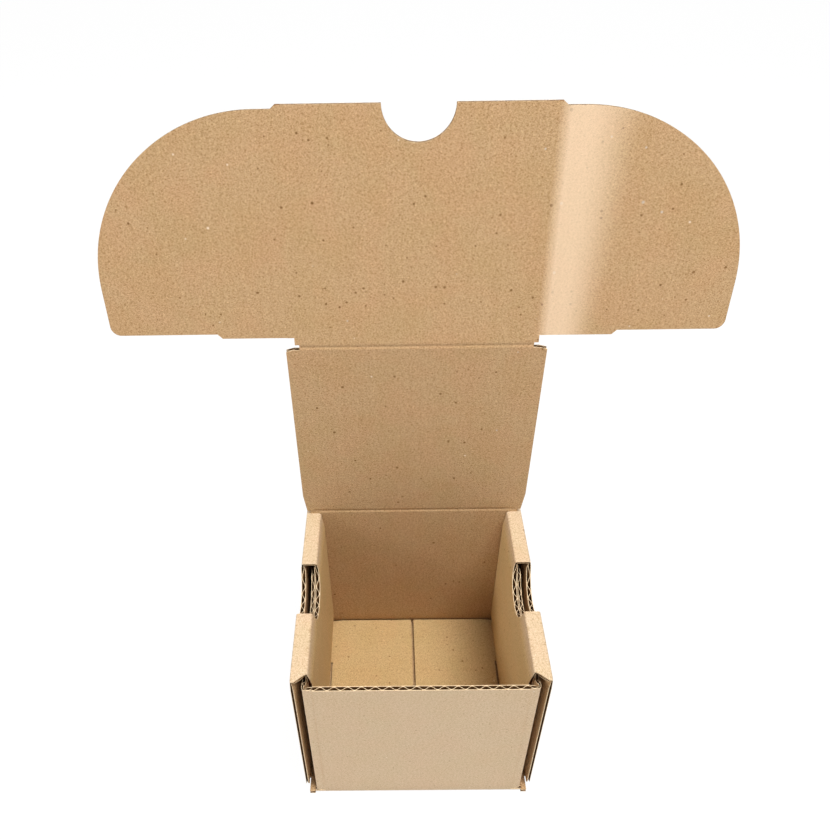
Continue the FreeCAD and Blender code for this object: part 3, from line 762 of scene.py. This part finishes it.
class MAILER_OT_creases(bpy.types.Operator):
    """Makes the pressed creases of the lid, the flap and the ears"""
    bl_idname = "mailer.creases"
    bl_label = "Creases"

    def execute(self, context):
        deepest = context.scene.board_sizes.crease_depth / MM

        def strip(name, u, v, place, over, nodes, bodies, start, end, depth=deepest):
            mesh = SheetMesh()
            middle = (over.min() + over.max()) / 2
            bell = np.exp(-((over - middle) / 0.75) ** 2)
            mesh.plate(u, v, -HALF + depth * bell, HALF - 0.5 * depth * bell, place, (1, 0, 3))
            piece = mesh.build(name, board_materials())
            finish_piece(piece, None, *nodes)
            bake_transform(piece)

        steps = np.linspace(-STRIP, STRIP, 17)
        share, v = np.meshgrid(np.linspace(-1, 1, 80), HINGE_Z + steps, indexing="ij")
        u = share * np.interp(v, [HINGE_Z - 0.4, HINGE_Z], [57.9, BACK_FOOT])
        strip("crease_hinge", u, v, lid_place, v, ("box_base", "lid_panel"), ("box", "lid"),
              np.array([0, HINGE_Y, HINGE_Z - STRIP]) * MM,
              np.array([0, HINGE_Y, HINGE_Z + STRIP]) * MM)

        u, v = np.meshgrid(np.linspace(-LID_INNER, LID_INNER, 80), steps, indexing="ij")

        def bent(u, v, offset):
            """Leans from the lid's plane to the flap's over the width of the strip."""
            share = np.clip((v + STRIP) / (2 * STRIP), 0, 1)
            lean = FLAP_TILT * share * share * (3 - 2 * share)
            y = np.where(v > 0, v * np.sin(FLAP_TILT), 0)
            z = np.where(v > 0, v * np.cos(FLAP_TILT), v)
            return np.stack([u, HINGE_Y + y + offset * np.cos(lean),
                             CREASE_Z + z - offset * np.sin(lean)], -1)

        strip("crease_flap", u, v, bent, v, ("lid_panel", "front_flap"), ("lid", "flap"),
              np.array([0, HINGE_Y, CREASE_Z - STRIP]) * MM,
              flap_place(np.array(0.0), np.array(STRIP), np.array(0.0)) * MM, 0.7 * deepest)

        for hand, word in ((-1, "left"), (1, "right")):
            across = hand * EAR_ROOT + steps
            far = EAR_END + 1.7 * np.clip((EAR_ROOT + STRIP - np.abs(across)) / STRIP, 0, 1)
            share = np.linspace(0, 1, 60)
            v = EAR_NEAR + (far[:, None] - EAR_NEAR) * share[None, :]
            u = np.broadcast_to(across[:, None], v.shape)
            strip(f"crease_ear_{word}", u, v, flap_place, u, ("front_flap", f"ear_{word}"),
                  ("flap", f"{word}_ear"),
                  flap_place(np.array(hand * (EAR_ROOT - STRIP)), np.array(50.0),
                             np.array(0.0)) * MM,
                  flap_place(np.array(hand * (EAR_ROOT + STRIP)), np.array(50.0),
                             np.array(0.0)) * MM, 0.25 * deepest)
        # The right ear's crease carries the same painted sheen.
        bpy.data.objects["crease_ear_right"].data.materials[0] = bpy.data.materials["kraft_painted_sheen"]
        return {"FINISHED"}


def area_lamp(name, place, aim, size, power):
    """White square lamp that points at aim."""
    lamp = bpy.data.lights.new(name, "AREA")
    lamp.shape, lamp.size, lamp.energy = "SQUARE", size, power
    holder = bpy.data.objects.new(name, lamp)
    bpy.context.scene.collection.objects.link(holder)
    holder.location = place
    holder.rotation_euler = (Vector(aim) - Vector(place)).to_track_quat("-Z", "Y").to_euler()


class MAILER_OT_stage(bpy.types.Operator):
    """Makes the plain floor, the studio light and the camera"""
    bl_idname = "mailer.stage"
    bl_label = "Stage"

    def execute(self, context):
        scene = context.scene
        reach = 4.0
        mesh = bpy.data.meshes.new("floor")
        mesh.from_pydata([(-reach, -reach, -0.0002), (reach, -reach, -0.0002),
                          (reach, reach, -0.0002), (-reach, reach, -0.0002)], [], [(0, 1, 2, 3)])
        floor = bpy.data.objects.new("floor", mesh)
        scene.collection.objects.link(floor)
        material = bpy.data.materials.new("floor_white")
        material.use_nodes = True
        tree = material.node_tree
        tree.nodes["Principled BSDF"].inputs["Base Color"].default_value = (
            *scene.board_colours.floor, 1)
        tree.nodes["Principled BSDF"].inputs["Roughness"].default_value = 0.9
        white = node(tree, "ShaderNodeEmission", {"Strength": 1.05})
        path = tree.nodes.new("ShaderNodeLightPath")
        seen = node(tree, "ShaderNodeMath", {0: path.outputs["Is Camera Ray"], 1: 0.9},
                    operation="MULTIPLY").outputs[0]
        both = node(tree, "ShaderNodeMixShader",
                    {0: seen, 1: tree.nodes["Principled BSDF"].outputs[0],
                     2: white.outputs[0]})
        tree.links.new(both.outputs[0], tree.nodes["Material Output"].inputs["Surface"])
        mesh.materials.append(material)

        world = bpy.data.worlds.new("studio")
        scene.world = world
        world.use_nodes = True
        sky = world.node_tree
        path = sky.nodes.new("ShaderNodeLightPath")
        seen = node(sky, "ShaderNodeMath", {0: path.outputs["Is Camera Ray"],
                                            1: path.outputs["Is Glossy Ray"]},
                    operation="MAXIMUM").outputs[0]
        seen = node(sky, "ShaderNodeMath", {0: seen, 1: path.outputs["Is Transmission Ray"]},
                    operation="MAXIMUM").outputs[0]
        strength = node(sky, "ShaderNodeMapRange", {0: seen, 3: 0.5, 4: 1.0}).outputs[0]
        sky.nodes["Background"].inputs["Color"].default_value = (1, 1, 1, 1)
        sky.links.new(strength, sky.nodes["Background"].inputs["Strength"])
        for lamp in LAMPS:
            area_lamp(*lamp)

        forward, right, up = camera_axes(*CAMERA_TURN)
        camera = bpy.data.cameras.new("photo_camera")
        camera.lens, camera.sensor_width = 36 * FOCUS / PHOTO_HIGH, 36
        camera.shift_x = (PHOTO_WIDE / 2 - CENTRE[0]) / PHOTO_HIGH
        camera.shift_y = (CENTRE[1] - PHOTO_HIGH / 2) / PHOTO_HIGH
        camera.clip_start = 0.01
        holder = bpy.data.objects.new("photo_camera", camera)
        scene.collection.objects.link(holder)
        holder.matrix_world = Matrix.Translation(Vector(CAMERA_SPOT) * MM) @ Matrix(
            (right, up, -forward)).transposed().to_4x4()
        scene.camera = holder
        scene.view_settings.view_transform = "Standard"
        return {"FINISHED"}


def camera_axes(pitch, yaw, roll):
    """Forward, right and up of a camera that looks along Y and down by pitch."""
    forward = Vector((0, math.cos(pitch), -math.sin(pitch)))
    up = Vector((0, math.sin(pitch), math.cos(pitch)))
    right = Vector((1, 0, 0))
    turn = Matrix.Rotation(yaw, 3, "Z")
    forward, up, right = turn @ forward, turn @ up, turn @ right
    return (forward, math.cos(roll) * right + math.sin(roll) * up,
            math.cos(roll) * up - math.sin(roll) * right)


class MAILER_PT_panel(bpy.types.Panel):
    bl_idname = "MAILER_PT_panel"
    bl_label = "Mailer box"
    bl_space_type = "VIEW_3D"
    bl_region_type = "UI"
    bl_category = "Mailer Box"

    def draw(self, context):
        layout = self.layout
        for group in (context.scene.board_sizes, context.scene.board_colours):
            box = layout.box()
            for name in group.__annotations__:
                box.prop(group, name)
        for operator in OPERATORS:
            layout.operator(operator.bl_idname)


OPERATORS = (MAILER_OT_side_walls, MAILER_OT_end_walls, MAILER_OT_lid, MAILER_OT_front_flap,
             MAILER_OT_ears, MAILER_OT_creases, MAILER_OT_stage)
CLASSES = (BoardSizes, BoardColours, *OPERATORS, MAILER_PT_panel)


def register():
    for item in CLASSES:
        bpy.utils.register_class(item)
    bpy.types.Scene.board_sizes = PointerProperty(type=BoardSizes)
    bpy.types.Scene.board_colours = PointerProperty(type=BoardColours)


def unregister():
    del bpy.types.Scene.board_sizes
    del bpy.types.Scene.board_colours
    for item in reversed(CLASSES):
        bpy.utils.unregister_class(item)


def main():
    register()
    bpy.ops.mailer.stage()
    bpy.ops.mailer.side_walls()
    bpy.ops.mailer.end_walls()
    bpy.ops.mailer.lid()
    bpy.ops.mailer.front_flap()
    bpy.ops.mailer.ears()
    bpy.ops.mailer.creases()


if __name__ == "__main__":
    main()
